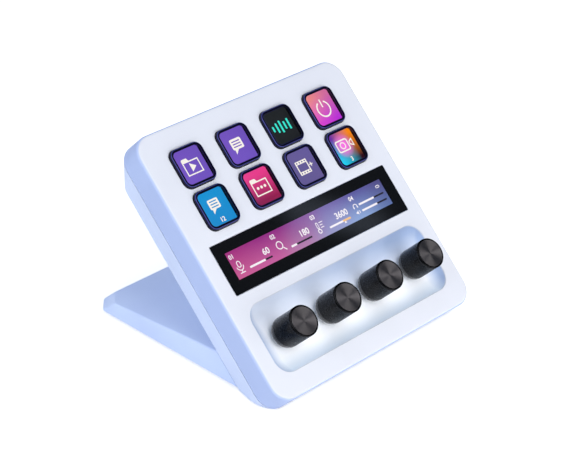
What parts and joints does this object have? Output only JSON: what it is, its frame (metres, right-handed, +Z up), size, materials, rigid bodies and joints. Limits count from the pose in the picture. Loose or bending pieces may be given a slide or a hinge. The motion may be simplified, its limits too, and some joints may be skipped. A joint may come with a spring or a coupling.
{
  "type": "macro keypad with dials",
  "caption": "Desktop macro keypad: tilted square head on a wedge foot, lit push keys, a touch strip and push-and-turn dials in a dished trough.",
  "frame": {"origin": "middle of the outline on the desk, under the rubber pads", "axes": "+X to the user's right, +Y away from the user, +Z up from the desk; the keys and dials face -Y and up"},
  "size_m": [0.14, 0.1312, 0.1044],
  "materials": {
    "front_shell_white": "satin moulded plastic",
    "rear_shell_white": "satin moulded plastic",
    "foot_white": "satin moulded plastic",
    "seal_dark": "matt",
    "guide_plastic": "matt moulded",
    "mat_silicone": "matt silicone",
    "display_glass": "dark display glass",
    "sheet_steel": "brushed",
    "strip_glass_black": "polished black glass",
    "circuit_board": "solder mask",
    "chip_black": "matt",
    "ribbon_film": "polyimide film",
    "socket_steel": "drawn steel",
    "encoder_body": "matt",
    "nut_steel": "plated",
    "screw_steel": "black plated",
    "cover_plastic": "satin moulded plastic",
    "pad_rubber": "matt",
    "key_black": "polished",
    "key_clear": "clear moulded key window",
    "dial_black": "black anodised, finely knurled",
    "dial_cap_metal": "black anodised, spun",
    "shaft_steel": "turned"
  },
  "bodies": {
    "root": {"front_shell": "front_shell_white", "rear_shell": "rear_shell_white", "seam_seal": "seal_dark", "key_guide": "guide_plastic", "key_mat": "mat_silicone", "key_display": "display_glass", "display_backplate": "sheet_steel", "strip_glass": "strip_glass_black", "strip_display": "display_glass", "main_board": "circuit_board", "board_chips": "chip_black", "encoder_board": "circuit_board", "ribbon_cables": "ribbon_film", "usb_c_socket": "socket_steel", "encoder_housings": "encoder_body", "encoder_nuts": "nut_steel", "shell_screws": "screw_steel", "board_screws": "screw_steel", "foot_screws": "screw_steel", "stand_foot": "foot_white", "foot_cover": "cover_plastic", "ballast_plate": "sheet_steel", "cover_screws": "screw_steel", "rear_pads": "pad_rubber", "front_pads": "pad_rubber"},
    "key_1": {"key_cap_1": "key_black", "key_lens_1": "key_clear"},
    "key_2": {"key_cap_2": "key_black", "key_lens_2": "key_clear"},
    "key_3": {"key_cap_3": "key_black", "key_lens_3": "key_clear"},
    "key_4": {"key_cap_4": "key_black", "key_lens_4": "key_clear"},
    "key_5": {"key_cap_5": "key_black", "key_lens_5": "key_clear"},
    "key_6": {"key_cap_6": "key_black", "key_lens_6": "key_clear"},
    "key_7": {"key_cap_7": "key_black", "key_lens_7": "key_clear"},
    "key_8": {"key_cap_8": "key_black", "key_lens_8": "key_clear"},
    "press_1": {"dial_plunger_1": "encoder_body"},
    "turn_1": {"dial_1": "dial_black", "dial_cap_1": "dial_cap_metal", "dial_shaft_1": "shaft_steel"},
    "press_2": {"dial_plunger_2": "encoder_body"},
    "turn_2": {"dial_2": "dial_black", "dial_cap_2": "dial_cap_metal", "dial_shaft_2": "shaft_steel"},
    "press_3": {"dial_plunger_3": "encoder_body"},
    "turn_3": {"dial_3": "dial_black", "dial_cap_3": "dial_cap_metal", "dial_shaft_3": "shaft_steel"},
    "press_4": {"dial_plunger_4": "encoder_body"},
    "turn_4": {"dial_4": "dial_black", "dial_cap_4": "dial_cap_metal", "dial_shaft_4": "shaft_steel"}
  },
  "joints": [
    {"name": "key_1_press", "type": "slide", "parent": "root", "child": "key_1", "axis": [0, 0.6871, -0.7266], "range_m": [0, 0.0013], "stiffness_N_per_m": 350, "springref_m": -0.0005},
    {"name": "key_2_press", "type": "slide", "parent": "root", "child": "key_2", "axis": [0, 0.6871, -0.7266], "range_m": [0, 0.0013], "stiffness_N_per_m": 350, "springref_m": -0.0005},
    {"name": "key_3_press", "type": "slide", "parent": "root", "child": "key_3", "axis": [0, 0.6871, -0.7266], "range_m": [0, 0.0013], "stiffness_N_per_m": 350, "springref_m": -0.0005},
    {"name": "key_4_press", "type": "slide", "parent": "root", "child": "key_4", "axis": [0, 0.6871, -0.7266], "range_m": [0, 0.0013], "stiffness_N_per_m": 350, "springref_m": -0.0005},
    {"name": "key_5_press", "type": "slide", "parent": "root", "child": "key_5", "axis": [0, 0.6871, -0.7266], "range_m": [0, 0.0013], "stiffness_N_per_m": 350, "springref_m": -0.0005},
    {"name": "key_6_press", "type": "slide", "parent": "root", "child": "key_6", "axis": [0, 0.6871, -0.7266], "range_m": [0, 0.0013], "stiffness_N_per_m": 350, "springref_m": -0.0005},
    {"name": "key_7_press", "type": "slide", "parent": "root", "child": "key_7", "axis": [0, 0.6871, -0.7266], "range_m": [0, 0.0013], "stiffness_N_per_m": 350, "springref_m": -0.0005},
    {"name": "key_8_press", "type": "slide", "parent": "root", "child": "key_8", "axis": [0, 0.6871, -0.7266], "range_m": [0, 0.0013], "stiffness_N_per_m": 350, "springref_m": -0.0005},
    {"name": "dial_1_press", "type": "slide", "parent": "root", "child": "press_1", "axis": [0, 0.6871, -0.7266], "range_m": [0, 0.0005], "stiffness_N_per_m": 2500, "springref_m": -0.0004},
    {"name": "dial_1_turn", "type": "hinge", "parent": "press_1", "child": "turn_1", "pos_m": [-0.04515, -0.04546, 0.02962], "axis": [0, -0.6871, 0.7266], "continuous": true},
    {"name": "dial_2_press", "type": "slide", "parent": "root", "child": "press_2", "axis": [0, 0.6871, -0.7266], "range_m": [0, 0.0005], "stiffness_N_per_m": 2500, "springref_m": -0.0004},
    {"name": "dial_2_turn", "type": "hinge", "parent": "press_2", "child": "turn_2", "pos_m": [-0.01505, -0.04546, 0.02962], "axis": [0, -0.6871, 0.7266], "continuous": true},
    {"name": "dial_3_press", "type": "slide", "parent": "root", "child": "press_3", "axis": [0, 0.6871, -0.7266], "range_m": [0, 0.0005], "stiffness_N_per_m": 2500, "springref_m": -0.0004},
    {"name": "dial_3_turn", "type": "hinge", "parent": "press_3", "child": "turn_3", "pos_m": [0.01505, -0.04546, 0.02962], "axis": [0, -0.6871, 0.7266], "continuous": true},
    {"name": "dial_4_press", "type": "slide", "parent": "root", "child": "press_4", "axis": [0, 0.6871, -0.7266], "range_m": [0, 0.0005], "stiffness_N_per_m": 2500, "springref_m": -0.0004},
    {"name": "dial_4_turn", "type": "hinge", "parent": "press_4", "child": "turn_4", "pos_m": [0.04515, -0.04546, 0.02962], "axis": [0, -0.6871, 0.7266], "continuous": true}
  ]
}
